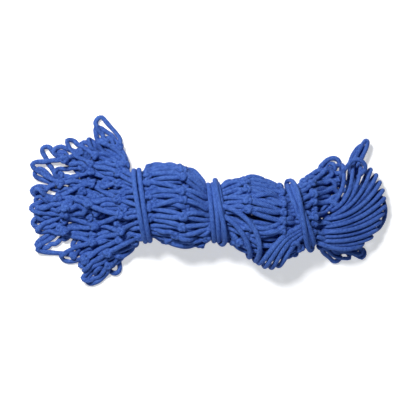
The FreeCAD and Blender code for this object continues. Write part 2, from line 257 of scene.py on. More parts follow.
# ------------------------------------------------------------------------
# material: matt cord, braided of soft yarns
# ------------------------------------------------------------------------
YARNS = 8               # that wind round the cord each way
YARN_PITCH = 0.0042     # metres along the cord in which the pattern of yarns repeats


def cord_material(name, base, dark):
    """Cord whose colour runs from dark to base: the yarn pattern paints shade between its yarns and a
    highlight on their raised crowns, and noise mixes in a random mottle.
    """
    mat, nt = new_material(name)
    new, link = nt.nodes.new, nt.links.new
    out = new("ShaderNodeOutputMaterial")
    bsdf = new("ShaderNodeBsdfPrincipled")
    link(bsdf.outputs[0], out.inputs["Surface"])
    uv = new("ShaderNodeUVMap")
    uv.uv_map = "cord"
    sep = new("ShaderNodeSeparateXYZ")
    link(uv.outputs["UV"], sep.inputs[0])

    def math_node(op, a, b=None):
        n = new("ShaderNodeMath")
        n.operation = op
        for i, v in enumerate((a, b)):
            if v is None:
                continue
            if isinstance(v, (int, float)):
                n.inputs[i].default_value = v
            else:
                link(v, n.inputs[i])
        return n.outputs[0]

    def noise(scale, detail):
        n = new("ShaderNodeTexNoise")
        n.inputs["Scale"].default_value = scale
        n.inputs["Detail"].default_value = detail
        link(coords.outputs["Object"], n.inputs["Vector"])
        return n.outputs["Fac"]

    # Two families of yarns wind round the cord in opposite ways and pass over each other.
    around = math_node("MULTIPLY", sep.outputs["X"], YARNS * 2.0 * math.pi)
    along = math_node("MULTIPLY", sep.outputs["Y"], 2.0 * math.pi / YARN_PITCH)
    one = math_node("SINE", math_node("ADD", around, along))
    two = math_node("SINE", math_node("SUBTRACT", around, along))
    over = math_node("SINE", math_node("MULTIPLY", sep.outputs["Y"], 4.0 * math.pi / YARN_PITCH))
    over = math_node("GREATER_THAN", over, 0.0)
    pick = new("ShaderNodeMix")
    pick.data_type = "FLOAT"
    link(over, pick.inputs[0])
    link(one, pick.inputs[2])
    link(two, pick.inputs[3])
    yarn = math_node("MULTIPLY", math_node("ADD", pick.outputs[0], 1.0), 0.5)
    yarn = math_node("POWER", yarn, 0.6)

    coords = new("ShaderNodeTexCoord")
    fuzz = noise(900.0, 4.0)
    patch = noise(38.0, 3.0)
    mottle = noise(330.0, 3.0)

    ramp = new("ShaderNodeMix")
    ramp.data_type = "RGBA"
    # sockets 6 and 7 take the two colours, and output 2 gives the mixed one
    ramp.inputs[6].default_value = (*dark, 1.0)
    ramp.inputs[7].default_value = (*base, 1.0)
    # painted shade and highlight: the yarn pattern darkens the colour between the yarns and lightens their
    # crowns, and the noises add random mottle
    yarn_shade_and_mottle = math_node("ADD", math_node("MULTIPLY", yarn, 0.8), math_node("MULTIPLY", fuzz, 0.6))
    yarn_shade_and_mottle = math_node("ADD", yarn_shade_and_mottle, math_node("MULTIPLY", patch, 0.5))
    yarn_shade_and_mottle = math_node("ADD", yarn_shade_and_mottle, math_node("MULTIPLY", mottle, 1.5))
    yarn_shade_and_mottle = math_node("MAXIMUM", math_node("MINIMUM", math_node("SUBTRACT", yarn_shade_and_mottle, 1.2), 1.0), 0.0)
    link(yarn_shade_and_mottle, ramp.inputs[0])
    link(ramp.outputs[2], bsdf.inputs["Base Color"])

    rough = math_node("ADD", 0.62, math_node("MULTIPLY", fuzz, 0.25))
    link(rough, bsdf.inputs["Roughness"])
    bsdf.inputs["Specular IOR Level"].default_value = 0.16
    bsdf.inputs["Sheen Weight"].default_value = 0.04
    bsdf.inputs["Sheen Roughness"].default_value = 0.5
    bsdf.inputs["Sheen Tint"].default_value = (0.55, 0.68, 1.0, 1.0)

    height = math_node("ADD", yarn, math_node("MULTIPLY", fuzz, 0.35))
    bump = new("ShaderNodeBump")
    bump.inputs["Strength"].default_value = 0.8
    bump.inputs["Distance"].default_value = 0.00035
    link(height, bump.inputs["Height"])
    link(bump.outputs["Normal"], bsdf.inputs["Normal"])
    return mat


NET = cord_material("net_cord", (0.094, 0.204, 0.620), (0.004, 0.034, 0.250))
TIE = cord_material("tie_cord", (0.090, 0.199, 0.610), (0.006, 0.040, 0.270))
LASH = cord_material("lashing_cord", (0.090, 0.195, 0.600), (0.005, 0.036, 0.255))

# ------------------------------------------------------------------------
# tubes
# ------------------------------------------------------------------------


def unit(v):
    return v / np.maximum(np.linalg.norm(v, axis=-1, keepdims=True), 1e-9)


def frames(p, closed=False):
    """Directions along points p, and two square to them that turn as little as they can."""
    if closed:
        t = unit(np.roll(p, -1, 0) - np.roll(p, 1, 0))
    else:
        t = unit(np.gradient(p, axis=0))
    n = np.zeros_like(p)
    a = UP if abs(t[0, 2]) < 0.9 else np.array([0.0, 1.0, 0.0])
    n[0] = unit(a - t[0] * (a @ t[0]))
    for i in range(1, len(p)):
        n[i] = unit(n[i - 1] - t[i] * (n[i - 1] @ t[i]))
    return t, n, np.cross(t, n)


class Builder:
    """Collects tubes into one mesh, with a UV map that runs round and along each cord."""

    def __init__(self):
        self.v, self.f, self.uv, self.count = [], [], [], 0

    def tube(self, p, radius, sides, squash=1.0, closed=False, start=0.0):
        """Adds a tube along points p, squashed to this share of its width, its UV map starting at start."""
        n = len(p)
        radius = np.broadcast_to(radius, (n,))
        t, a, b = frames(p, closed)
        ang = np.arange(sides) * 2.0 * math.pi / sides
        ring = (
            p[:, None]
            + a[:, None] * (np.cos(ang)[None, :, None] * radius[:, None, None] * squash)
            + b[:, None] * (np.sin(ang)[None, :, None] * radius[:, None, None])
        )
        lengths = np.linalg.norm(np.diff(p, axis=0), axis=1)
        along = start + np.concatenate([[0.0], np.cumsum(lengths)]) / MM
        base = self.count
        self.v.append(ring.reshape(-1, 3))
        self.count += n * sides
        last = n if closed else n - 1
        i = np.arange(last)[:, None]
        k = np.arange(sides)[None, :]
        k2 = (k + 1) % sides
        i2 = (i + 1) % n
        corners = [i * sides + k, i * sides + k2, i2 * sides + k2, i2 * sides + k]
        self.f.extend((np.stack(corners, -1).reshape(-1, 4) + base).tolist())
        u0 = np.broadcast_to(k / sides, (last, sides))
        u1 = np.broadcast_to((k + 1) / sides, (last, sides))
        far = np.append(along, along[-1] + (np.linalg.norm(p[0] - p[-1]) / MM))
        v0 = np.broadcast_to(along[:last, None], (last, sides))
        v1 = np.broadcast_to(far[1:last + 1, None], (last, sides))
        uv = np.stack([np.stack(pair, -1) for pair in ((u0, v0), (u1, v0), (u1, v1), (u0, v1))], 2)
        self.uv.append(uv.reshape(-1, 2))
        if not closed:
            for end, sign in ((0, -1.0), (n - 1, 1.0)):
                outward = t[end] * sign * radius[end]
                self.round_end(ring[end], base + end * sides, p[end], outward, sign, along[end])

    def round_end(self, ring, first, centre, outward, sign, v):
        """Closes a tube with one smaller ring and a tip. sign is -1 at its first end and 1 at its last."""
        sides = len(ring)
        s = self.count
        self.v.append(np.vstack([centre + outward * 0.45 + (ring - centre) * 0.72, centre + outward * 0.62]))
        self.count += sides + 1
        for q in range(sides):
            q2 = (q + 1) % sides
            if sign > 0:
                faces = [[first + q, first + q2, s + q2, s + q], [s + q, s + q2, s + sides]]
            else:
                faces = [[first + q2, first + q, s + q, s + q2], [s + q2, s + q, s + sides]]
            self.f += faces
            self.uv.append(np.array([[q / sides, v]] * sum(len(face) for face in faces)))

    def make(self, name, material, slot):
        mesh = bpy.data.meshes.new(name)
        v = np.concatenate(self.v) / MM
        mesh.from_pydata(v.tolist(), [], self.f)
        layer = mesh.uv_layers.new(name="cord")
        layer.data.foreach_set("uv", np.concatenate(self.uv).astype(np.float32).ravel())
        mesh.polygons.foreach_set("use_smooth", [True] * len(mesh.polygons))
        mesh.materials.append(material)
        mesh.update()
        ob = link_object(name, mesh)
        return ob


def catmull(p, per):
    """Smooth points through p, per of them for each step."""
    p = np.asarray(p, float)
    q = np.vstack([2 * p[0] - p[1], p, 2 * p[-1] - p[-2]])
    out = []
    for i in range(len(p) - 1):
        p0, p1, p2, p3 = q[i], q[i + 1], q[i + 2], q[i + 3]
        s = (np.arange(per) / per)[:, None]
        square, cube = 2 * p0 - 5 * p1 + 4 * p2 - p3, 3 * p1 - p0 - 3 * p2 + p3
        out.append(0.5 * (2 * p1 + (p2 - p0) * s + square * s**2 + cube * s**3))
    out.append(p[-1:])
    return np.concatenate(out)


# ------------------------------------------------------------------------
# the net: columns of cord wound into a bundle, joined alternately at rows of knots
# ------------------------------------------------------------------------


def ease(x, xs, ys):
    """Smooth curve through given points."""
    x = np.asarray(x, float)
    xs, ys = np.asarray(xs, float), np.asarray(ys, float)
    i = np.clip(np.searchsorted(xs, x) - 1, 0, len(xs) - 2)
    s = np.clip((x - xs[i]) / (xs[i + 1] - xs[i]), 0.0, 1.0)
    slope = np.gradient(ys, xs)
    h = xs[i + 1] - xs[i]
    s2, s3 = s * s, s * s * s
    return (
        (2 * s3 - 3 * s2 + 1) * ys[i] + (s3 - 2 * s2 + s) * h * slope[i]
        + (-2 * s3 + 3 * s2) * ys[i + 1] + (s3 - s2) * h * slope[i + 1]
    )


# The gathered net's outline between the outer ties: its back and front edges and its half height, along X.
TOP = ([-100, -86, -72, -50, -32, -16, 0, 12, 24, 40, 62, 84, 100, 118, 132, 150, 165],
       [44, 46, 54, 62, 62, 52, 34, 26, 28, 33, 38, 34, 25, 25, 28, 42, 52])
BOTTOM = (TOP[0], [-62, -60, -60, -66, -68, -69, -62, -58, -66, -67, -80, -92, -88, -80, -70, -65, -66])
HALF_H = ([-100, -86, -66, -36, -8, 14, 34, 70, 104, 127, 150], [31, 28, 35, 40, 34, 28, 35, 40, 32, 24, 26])


def outline(x):
    """Middle of the gathered net across the bundle at x, its half width and its half height."""
    top, bottom = ease(x, *TOP), ease(x, *BOTTOM)
    return (top + bottom) / 2.0, (top - bottom) / 2.0, ease(x, *HALF_H)


# The spread ends: a root that each one's reach is measured from, that reach against the angle seen from the
# root, and the angles of its outermost cords, towards the back and towards the front.
FAN_ROOT = LEFT.centre + LEFT.along * 36.0
END_ROOT = RIGHT.centre - RIGHT.along * 30.0
FAN_R = ([-60, -55, -49, -39, -32, -28, -19, -8, -2, 14, 21, 30, 40, 47, 52, 58],
         [108, 142, 154, 160, 174, 190, 206, 210, 208, 204, 196, 182, 164, 155, 152, 139])
FAN_ANGLES = (66.0, 58.0)
END_ANGLES = (50.0, 34.0)
END_R = ([-40, -34, -29, -24, -19, -13, -5, 5, 15, 24, 34, 44, 52],
         [62, 90, 116, 138, 130, 98, 88, 90, 96, 112, 126, 128, 98])
FAN_DROP, END_DROP = 90.0, 70.0     # distance past the tie in which the cords come down
END_STRETCH = 1.05      # cords past the right tie lie this much straighter


def share_of(th):
    """Side of the spread ends that a cord at angle th of the rolled section goes to, from -1 to 1.

    The roll opens out: its outer turn sweeps once from back to front, and the next one back."""
    turns = (th + math.pi / 2) / (2 * math.pi)
    return 1.0 - 2.0 * np.abs((turns + 1.0) % 2.0 - 1.0)


def beyond(tie, side, angles, a, b, spread, out, drop, low):
    """Where a cord lies past an end tie, out from it, with a share drop of its way down to the height low."""
    ang = np.radians(np.where(spread > 0, *angles) * spread)
    y, z = tie.centre[1] + a * tie.half_width, CORE + b * tie.half_height
    start = np.stack([np.full_like(out, tie.centre[0]), y, z], -1)
    ray = np.stack([side * np.cos(ang), np.sin(ang), np.zeros_like(ang)], -1)
    p = start + ray * out[..., None]
    p[..., 2] = (1 - drop) * start[..., 2] + drop * low
    return p


def place(l, a, b, spread):
    """Where a cord lies, l along the bundle from the left tie, at a across and b up of the section,
    and at share spread of the way from the middle to the side of the spread ends."""
    l, a, b, spread = np.broadcast_arrays(np.asarray(l, float), a, b, spread)
    x = np.clip(l, 0.0, SPAN) + LEFT.centre[0]
    mid, half, up = outline(x)
    p = np.stack([x, mid + a * half, CORE + b * up + 2.0 * np.sin(math.pi * np.clip(l, 0, SPAN) / SPAN)], -1)
    # the fan comes down smoothly, the right end straight
    out = np.clip(-l, 0.0, None)
    drop = np.clip(out / FAN_DROP, 0.0, 1.0)
    drop = drop * drop * (3 - 2 * drop)
    fan = beyond(LEFT, -1.0, FAN_ANGLES, a, b, spread, out, drop, 17.0 + 13.0 * b)
    out = np.clip(l - SPAN, 0.0, None) * END_STRETCH
    drop = np.clip(out / END_DROP, 0.0, 1.0)
    end = beyond(RIGHT, 1.0, END_ANGLES, a, b, spread, out, drop, 15.0 + 12.0 * b)
    p = np.where((l < 0)[..., None], fan, p)
    return np.where((l > SPAN)[..., None], end, p)


COLUMNS = 84


def rolled_section():
    """Angles and radii of the net's columns in its section, where it is rolled up from the outside in."""
    first, outer, per_turn = -1.35, 0.93, 0.23
    angles, radii, ang = [], [], 0.0
    for _ in range(COLUMNS):
        r = max(0.1, outer - per_turn * max(0.0, ang - 4.8) / (2 * math.pi))
        angles.append(first + ang)
        radii.append(r)
        ang += 0.168 / r
    return np.array(angles), np.array(radii)


theta, rho = rolled_section()


def column_at(j, l):
    """Place in the section of the cords near column j, which wander along the bundle, and their spread."""
    j = np.asarray(j, float)
    th = np.interp(j, np.arange(COLUMNS), theta)
    ro = np.interp(j, np.arange(COLUMNS), rho)
    th = th + 0.12 * np.sin(l / 31.0 + 0.45 * j) + 0.08 * np.sin(l / 17.0 - 0.8 * j + 1.3)
    ro = ro + 0.035 * np.sin(l / 23.0 + 1.7 * j) + 0.03 * np.sin(l / 40.0 - 0.9 * j)
    ro = np.minimum(ro, 0.95)
    return ro * np.cos(th), ro * np.sin(th), share_of(th)


def farthest(a, spread, side):
    """How far the cords at place a reach past an end tie: the left for side -1, the right for side 1."""
    steps = np.arange(0.0, 230.0, 2.0)
    l = -steps if side < 0 else SPAN + steps
    p = place(l, a, 0.0, spread)
    root, table = (FAN_ROOT, FAN_R) if side < 0 else (END_ROOT, END_R)
    rel = p - root
    ang = np.degrees(np.arctan2(rel[:, 1], side * rel[:, 0]))
    inside = (np.hypot(rel[:, 0], rel[:, 1]) < ease(ang, *table)) | (steps < 30.0)
    return float(steps[inside].max())


def limits(a, spread):
    """Where along the bundle the cords at place a begin and end."""
    return -farthest(a, spread, -1.0), SPAN + farthest(a, spread, 1.0)


# Knot (j, r) joins columns j and j + 1, in every second row r. The phase keeps the rows from lining up.
ROWS = range(-8, 14)
knots = {}
for j in range(COLUMNS - 1):
    phase = 17.0 * math.sin(0.19 * j + 5.2) + 4.0 * math.sin(0.43 * j)
    for r in ROWS:
        if (j + r) % 2:
            continue
        l = ROW * r + phase + rng.uniform(-8, 8)
        a, b, spread = (float(v) for v in column_at(j + 0.5, l))
        lo, hi = limits(a, spread)
        if lo - 4 <= l <= hi + 2:
            knots[(j, r)] = (l, a + rng.uniform(-0.06, 0.06), b + rng.uniform(-0.06, 0.06), spread)


def without_loose_ends(bars):
    """The bars but for those that hang by one end, which are not part of a net."""
    while True:
        met = {}
        for a, b in bars:
            met[a] = met.get(a, 0) + 1
            met[b] = met.get(b, 0) + 1
        keep = [(a, b) for a, b in bars if met[a] > 1 and met[b] > 1]
        if len(keep) == len(bars):
            return bars
        bars = keep


possible = [((j, r), (j + dj, r + 1)) for j, r in knots for dj in (-1, 1)]
bars = without_loose_ends([(a, b) for a, b in possible if b in knots])
keys = sorted({k for bar in bars for k in bar})
index = {k: i for i, k in enumerate(keys)}
layout = np.array([knots[k] for k in keys]).T
knot_places = place(*layout)
bar_ends = np.array([[index[a], index[b]] for a, b in bars])
KNOTS, BARS = len(keys), len(bars)
BAR_POINTS = 7          # on a bar, between its knots

# each bar bows or waves to one side, by as much as its length leaves slack
share = (np.arange(1, BAR_POINTS + 1) / (BAR_POINTS + 1))
head, tail = bar_ends.T
bar_places = place(*(v[head][:, None] + (v[tail] - v[head])[:, None] * share for v in layout))
chord = np.linalg.norm(knot_places[tail] - knot_places[head], axis=1)
slack = np.sqrt(np.clip(3.0 * chord * (BAR - chord) / 8.0, 0.0, 60.0))
side = rng.normal(size=(BARS, 3)) * np.array([0.25, 1.0, 0.6])
wave = np.where(rng.random(BARS) < 0.5, 1.0, 2.0)
bow = np.sin(math.pi * share[None, :] * wave[:, None]) * (slack / wave)[:, None] * 0.8
bar_places = bar_places + unit(side)[:, None, :] * bow[..., None]
print("net: %d knots, %d bars, %.1f m of cord" % (KNOTS, BARS, BARS * BAR / MM))

# pos: the points that are relaxed, the knots and then the bars' own; chain: the numbers of each bar's points
pos = np.concatenate([knot_places, bar_places.reshape(-1, 3)])
inner = KNOTS + np.arange(BARS)[:, None] * BAR_POINTS + np.arange(BAR_POINTS)[None, :]
chain = np.concatenate([bar_ends[:, :1], inner, bar_ends[:, 1:]], axis=1)

# ------------------------------------------------------------------------
# ties: cord wound round the necks
# ------------------------------------------------------------------------
TURN_POINTS = 84
ROOM = 0.35             # between a turn and what it is wound on


def tie_ring(tie, offset, twist=0.0, layer=0.0, lean=0.0, gather=1.0):
    """One turn round a neck, as points in millimetres, before it is drawn tight.

    offset is its place along the bundle on top, and gather the share of it at the sides.
    lean slides its top against its underside, and twist turns it."""
    a = np.arange(TURN_POINTS) * 2 * math.pi / TURN_POINTS
    grow = CORD / 2 + ROOM + layer * (CORD + ROOM)
    y = (tie.half_width + grow) * np.cos(a)
    z = (tie.half_height + grow) * np.sin(a)
    s = offset * (gather + (1.0 - gather) * np.abs(np.sin(a))) + lean * np.sin(a)
    s = s + y * math.tan(math.radians(twist)) * np.clip(np.sin(a) * 2.2, -1.0, 1.0)
    p = tie.centre + tie.across * y[:, None] + tie.along * s[:, None]
    p[:, 2] = tie.centre[2] + z
    return p


# name of each turn: the tie it belongs to, and its points
RINGS = {
    "left_tie_turn_1": (LEFT, tie_ring(LEFT, -3.0, -1.0, lean=-1.2)),
    "left_tie_turn_2": (LEFT, tie_ring(LEFT, 3.0, 1.0, lean=0.4)),
    "middle_tie_turn_1": (MIDDLE, tie_ring(MIDDLE, -7.0, 0.8, gather=0.7)),
    "middle_tie_turn_2": (MIDDLE, tie_ring(MIDDLE, -1.2, 0.0, lean=1.5, gather=0.7)),
    "middle_tie_turn_3": (MIDDLE, tie_ring(MIDDLE, 4.8, -0.5, lean=3.0, gather=0.6)),
    "middle_tie_turn_4": (MIDDLE, tie_ring(MIDDLE, 3.0, -6.0, layer=1.1, lean=3.0)),
    "right_tie_turn_1": (RIGHT, tie_ring(RIGHT, -3.2, -5.0)),
    "right_tie_turn_2": (RIGHT, tie_ring(RIGHT, 3.2, -4.0)),
    "right_tie_turn_3": (RIGHT, tie_ring(RIGHT, 0.0, 8.5, layer=1.1)),
}

# ------------------------------------------------------------------------
# lashing cord: the hank's turns, from where they leave the netting round to the rim and back under
# ------------------------------------------------------------------------
HANK_START = [(171, -4), (176, -9), (176, -15), (173, -19), (170, -23), (167, -27), (164, -31), (161, -35),
              (158, -39), (155, -43), (152, -48), (150, -53), (149, -58), (152, -62)]
HANK_RIM = [(187, 50), (200, 51), (212, 49), (226, 44), (234, 36), (239, 26), (243, 15), (245, 4),
            (246, -7), (243, -17), (240, -28), (235, -39), (228, -49), (216, -58)]


def hank_route():
    """One cord in long open turns. Neighbouring turns lie beside and on each other."""
    route = []
    for k, (s, r) in enumerate(zip(HANK_START, HANK_RIM)):
        s, r = np.array(s, float), np.array(r, float)
        lift = 5.5 if k % 2 else 0.0
        up = (r - s) / np.linalg.norm(r - s)
        # the turn leaves to the right and bends up towards the rim, then goes back under
        m1 = s + 0.30 * (r - s) + np.array([7.0, -7.0])
        m2 = s + 0.62 * (r - s) + np.array([6.0, -6.5])
        m3 = s + 0.86 * (r - s) + np.array([2.5, -3.0])
        jitter = rng.uniform(-0.6, 0.6, 2)
        following = np.array(HANK_START[min(k + 1, len(HANK_START) - 1)], float)
        route += [
            (*(s - 4.0 * up + jitter), 35.0 + lift),
            (*m1, 37.0 + 0.8 * lift),
            (*m2, 31.0 + 0.5 * lift),
            (*m3, 26.0 + 0.3 * lift),
            (*(r - 2.5 * up), 24.5),
            (*(r + 0.5 * up), 14.0),
            (*(r - 6.0 * up), 4.0),
            (*(m3 - 4 * up), 4.0),
            (*(m2 - 6 * up), 4.0 + 0.6 * lift),
            (*(m1 + 4 * up), 6.5 + 0.9 * lift),
            (*(s + 7.0 * up), 9.0 + 0.4 * lift),
            (*(s - 6.0 * up), 13.0 + 0.4 * lift),
            (*((s + following) / 2.0 - 11.0 * up), 25.0),
        ]
    return np.array(route)


def nurbs_points(name, route, resolution=6):
    """Points along a smooth spline whose control points are the route, in millimetres."""
    curve = bpy.data.curves.new(name, "CURVE")
    curve.dimensions = "3D"
    curve.resolution_u = resolution
    spline = curve.splines.new("NURBS")
    spline.points.add(len(route) - 1)
    for point, co in zip(spline.points, route):
        point.co = (*metres(co), 1.0)
    spline.order_u = 3
    spline.use_endpoint_u = True
    ob = link_object(name, curve)
    bpy.context.view_layer.update()
    mesh = bpy.data.meshes.new_from_object(ob)
    pts = np.array([v.co for v in mesh.vertices]) * MM
    bpy.data.objects.remove(ob)
    bpy.data.meshes.remove(mesh)
    keep = np.concatenate([[True], np.linalg.norm(np.diff(pts, axis=0), axis=1) > 0.05])
    return pts[keep]


hank = nurbs_points("hank_spline", hank_route(), 4)

# ------------------------------------------------------------------------
# relaxation: the cords keep their length, take up room and rest on the floor
# ------------------------------------------------------------------------


def pairs_within(p, reach, movable):
    """Pairs of points closer than reach, with one of the first movable points in each."""
    cell = np.floor((p - p.min(0)) / reach).astype(np.int64)
    dims = cell.max(0) + 3
    cell += 1
    key = (cell[:, 0] * dims[1] + cell[:, 1]) * dims[2] + cell[:, 2]
    order = np.argsort(key, kind="stable")
    sk = key[order]
    found = []
    for dx in (-1, 0, 1):
        for dy in (-1, 0, 1):
            for dz in (-1, 0, 1):
                off = (dx * dims[1] + dy) * dims[2] + dz
                if off < 0:
                    continue
                lo = np.searchsorted(sk, key + off, "left")
                hi = np.searchsorted(sk, key + off, "right")
                n = hi - lo
                src = np.repeat(np.arange(len(p)), n)
                if not len(src):
                    continue
                base = np.repeat(lo - np.concatenate([[0], np.cumsum(n)[:-1]]), n)
                dst = order[base + np.arange(len(src))]
                if off == 0:
                    good = src < dst
                    src, dst = src[good], dst[good]
                found.append(np.stack([src, dst], 1))
    q = np.concatenate(found)
    q = q[(q[:, 0] < movable) | (q[:, 1] < movable)]
    d = np.linalg.norm(p[q[:, 0]] - p[q[:, 1]], axis=1)
    return q[d < reach]


def spread_sum(idx, vec, n):
    """Sums of the vectors that fall to each of n points."""
    return np.stack([np.bincount(idx, vec[:, k], n) for k in range(3)], 1)


def draw_tight(rings, steps):
    """Pulls the turns on to their necks, lying on one another where they cross."""
    apart = CORD + 0.1
    ring_of = np.repeat(np.arange(len(rings)), TURN_POINTS)
    p = np.concatenate([r[1] for r in rings.values()])
    for _ in range(steps):
        loops = p.reshape(len(rings), TURN_POINTS, 3)
        loops = loops + 0.3 * ((np.roll(loops, 1, 1) + np.roll(loops, -1, 1)) / 2.0 - loops)
        p = loops.reshape(-1, 3)
        for _ in range(2):
            q = pairs_within(p, apart, len(p))
            q = q[ring_of[q[:, 0]] != ring_of[q[:, 1]]]
            d = p[q[:, 0]] - p[q[:, 1]]
            dist = np.maximum(np.linalg.norm(d, axis=1), 1e-6)
            push = d / dist[:, None] * ((apart - dist) * 0.5)[:, None]
            moved = spread_sum(q[:, 0], push, len(p)) - spread_sum(q[:, 1], push, len(p))
            count = np.bincount(q.ravel(), minlength=len(p))
            p = p + moved / np.maximum(count, 1)[:, None]
        for k, (tie, _) in enumerate(rings.values()):
            mine = ring_of == k
            s, y, z, reach = tie.section(p[mine], 3.1)
            out = np.maximum(1.0 / reach, 1.0)
            p[mine] = tie.points(s, y * out, z * out)
        p[:, 2] = np.maximum(p[:, 2], LOWEST)
    return p


TURNS = draw_tight(RINGS, 90).reshape(len(RINGS), TURN_POINTS, 3)

# Knotless cords that sweep over the right lobe, from under the right tie and from the middle one.
SWEEPS_RIGHT = [
    [(126, -34), (104, -45), (93, -57), (84, -68), (77, -79), (71, -88)],
    [(126, -39), (108, -48), (98, -59), (90, -71), (84, -82), (79, -91)],
    [(126, -43), (113, -51), (104, -62), (97, -74), (92, -84), (88, -92)],
    [(127, -48), (118, -56), (111, -67), (105, -77), (100, -86), (97, -92)],
]
SWEEPS_MIDDLE = [
    [(15, -6), (29, -9), (43, -16), (55, -26), (64, -38), (69, -51), (71, -63), (70, -73), (67, -82)],
    [(15, -17), (27, -22), (38, -31), (47, -42), (54, -54), (58, -66), (59, -76)],
]


def lay_on(points, rise=0.0):
    """Route over the gathered net, higher by rise, through places seen from above, that ends tucked in."""
    x, y = np.array(points, float).T
    mid, half, up = outline(x)
    a = np.arccos(np.clip((y - mid) / half, -0.985, 0.985))
    under = a[-1] + np.radians([22.0, 44.0, 66.0, 84.0])
    x = np.concatenate([x, x[-1] - np.array([1.0, 3.0, 5.0, 7.0])])
    a = np.concatenate([a, under])
    mid, half, up = outline(x)
    share = np.ones(len(x))
    share[-2:] = 0.92, 0.7
    z = CORE + (up - 1.5 + rise) * share * np.sin(a)
    return np.stack([x, mid + half * share * np.cos(a), np.maximum(z, 3.6)], 1)


routes = [lay_on(points) for points in SWEEPS_RIGHT] + [lay_on(points, 3.0) for points in SWEEPS_MIDDLE]
sweeps = [nurbs_points("sweep_%d" % n, route, 5) for n, route in enumerate(routes)]
fixed = np.concatenate([TURNS.reshape(-1, 3), *sweeps])


def pair_key(a, b):
    """One number for the pair of points a and b, a the lower of the two."""
    return a * 100000 + b


def arms_of_knots():
    """For each knot, the two nearest points of every bar that ends at it."""
    arms = {}
    for c in chain:
        arms.setdefault(int(c[0]), []).append((int(c[1]), int(c[2])))
        arms.setdefault(int(c[-1]), []).append((int(c[-2]), int(c[-3])))
    return arms


ARMS = arms_of_knots()


def neighbours():
    """Keys of the pairs that are neighbours along a cord or round a knot, and so never pushed apart."""
    near = set()
    for c in chain:
        for i in range(len(c)):
            for k in range(i + 1, min(i + 3, len(c))):
                near.add((min(c[i], c[k]), max(c[i], c[k])))
    for arms in ARMS.values():
        for x in range(len(arms)):
            for y in range(len(arms)):
                if x != y:
                    near.add((min(arms[x][0], arms[y][0]), max(arms[x][0], arms[y][0])))
                    near.add((min(arms[x][0], arms[y][1]), max(arms[x][0], arms[y][1])))
    found = [np.array([pair_key(a, b) for a, b in near], dtype=np.int64)]
    arc = np.concatenate([[0.0], np.cumsum(hank_steps)])
    for k in range(1, 12):
        close = arc[k:] - arc[:-k] < 13.0
        found.append(pair_key(hank_ids[:-k], hank_ids[k:])[close])
    return np.sort(np.concatenate(found))


# edge: pairs a fixed length of cord apart; bend: pairs that the cord's stiffness keeps at least so far apart
SEGMENT = BAR / (BAR_POINTS + 1)
edge = np.concatenate([chain[:, :-1].reshape(-1, 1), chain[:, 1:].reshape(-1, 1)], axis=1)
bend = np.concatenate([chain[:, :-2].reshape(-1, 1), chain[:, 2:].reshape(-1, 1)], axis=1)
rest = np.full(len(edge), SEGMENT)
least = np.full(len(bend), 1.86 * SEGMENT)
# the hank's cord joins the same relaxation, after the net's points
HANK_FIRST = len(pos)
hank_ids = HANK_FIRST + np.arange(len(hank))
hank_steps = np.linalg.norm(np.diff(hank, axis=0), axis=1)
edge = np.concatenate([edge, np.stack([hank_ids[:-1], hank_ids[1:]], 1)])
rest = np.concatenate([rest, hank_steps])
for apart in (2, 3, 5, 7):
    bend = np.concatenate([bend, np.stack([hank_ids[:-apart], hank_ids[apart:]], 1)])
    least = np.concatenate([least, np.linalg.norm(hank[apart:] - hank[:-apart], axis=1) * 0.99])
near_keys = neighbours()
pos = np.concatenate([pos, hank])

# how much room the points take up round them, cords and knots
CORD_ROOM, KNOT_ROOM = 3.3, 5.9
radius = np.full(len(pos) + len(fixed), CORD_ROOM)
degree = np.bincount(bar_ends.ravel(), minlength=KNOTS)
radius[:KNOTS] = np.where(degree == 2, CORD_ROOM, KNOT_ROOM)
# At the net's edge the cord goes round in a loop without a knot.
loops = []
for arms in ARMS.values():
    if len(arms) == 2:
        (a1, a2), (b1, b2) = arms
        loops += [(a1, b1, 1.55 * SEGMENT), (a2, b2, 2.3 * SEGMENT)]
bend = np.concatenate([bend, np.array([loop[:2] for loop in loops], int).reshape(-1, 2)])
least = np.concatenate([least, np.array([loop[2] for loop in loops])])
# Where the net lies spread, its knots are drawn to the places they were laid out in.
in_fan = np.clip((LEFT.centre[0] - 8.0 - knot_places[:, 0]) / 30.0, 0, 1)
in_end = np.clip((knot_places[:, 0] - RIGHT.centre[0] - 5.0) / 30.0, 0, 1)
hold = (0.10 * in_fan + 0.05 * in_end)[:, None] * np.array([1.0, 1.0, 0.25])


SEARCH = 10.5           # pairs of points closer than this are watched, until the next search
PUSH_GAIN, LENGTH_GAIN, BEND_GAIN = 1.25, 1.4, 0.25
HANK_HOLD = 0.04        # share of its way back to its route that the hank goes at each step
TIE_REACH = 12.0        # a tie holds the cords together as far as this from its centre
SINK = 0.12             # that the net's spread ends go down at each step


def contacts(pos):
    """Pairs of points that may come to touch, and how far apart each pair's cords keep them."""
    q = pairs_within(np.concatenate([pos, fixed]), SEARCH, len(pos))
    key = pair_key(np.minimum(q[:, 0], q[:, 1]), np.maximum(q[:, 0], q[:, 1]))
    hit = np.minimum(np.searchsorted(near_keys, key), len(near_keys) - 1)
    q = q[near_keys[hit] != key]
    return q, radius[q[:, 0]] + radius[q[:, 1]]


def push_apart(pos, q, touch):
    """Moves cords out of each other, half the way each, or all of it where the other one is fixed."""
    every = np.concatenate([pos, fixed])
    count, n = len(pos), len(every)
    d = every[q[:, 0]] - every[q[:, 1]]
    dist = np.maximum(np.linalg.norm(d, axis=1), 1e-6)
    over = touch - dist
    m = over > 0
    push = d[m] / dist[m, None] * over[m, None]
    i, j = q[m, 0], q[m, 1]
    wi = (i < count).astype(float)
    wj = (j < count).astype(float)
    total = np.maximum(wi + wj, 1.0)
    moved = spread_sum(i, push * (wi / total)[:, None], n) - spread_sum(j, push * (wj / total)[:, None], n)
    hits = np.bincount(i, minlength=n) + np.bincount(j, minlength=n)
    return pos + (moved / np.maximum(hits, 1)[:, None] * PUSH_GAIN)[:count]


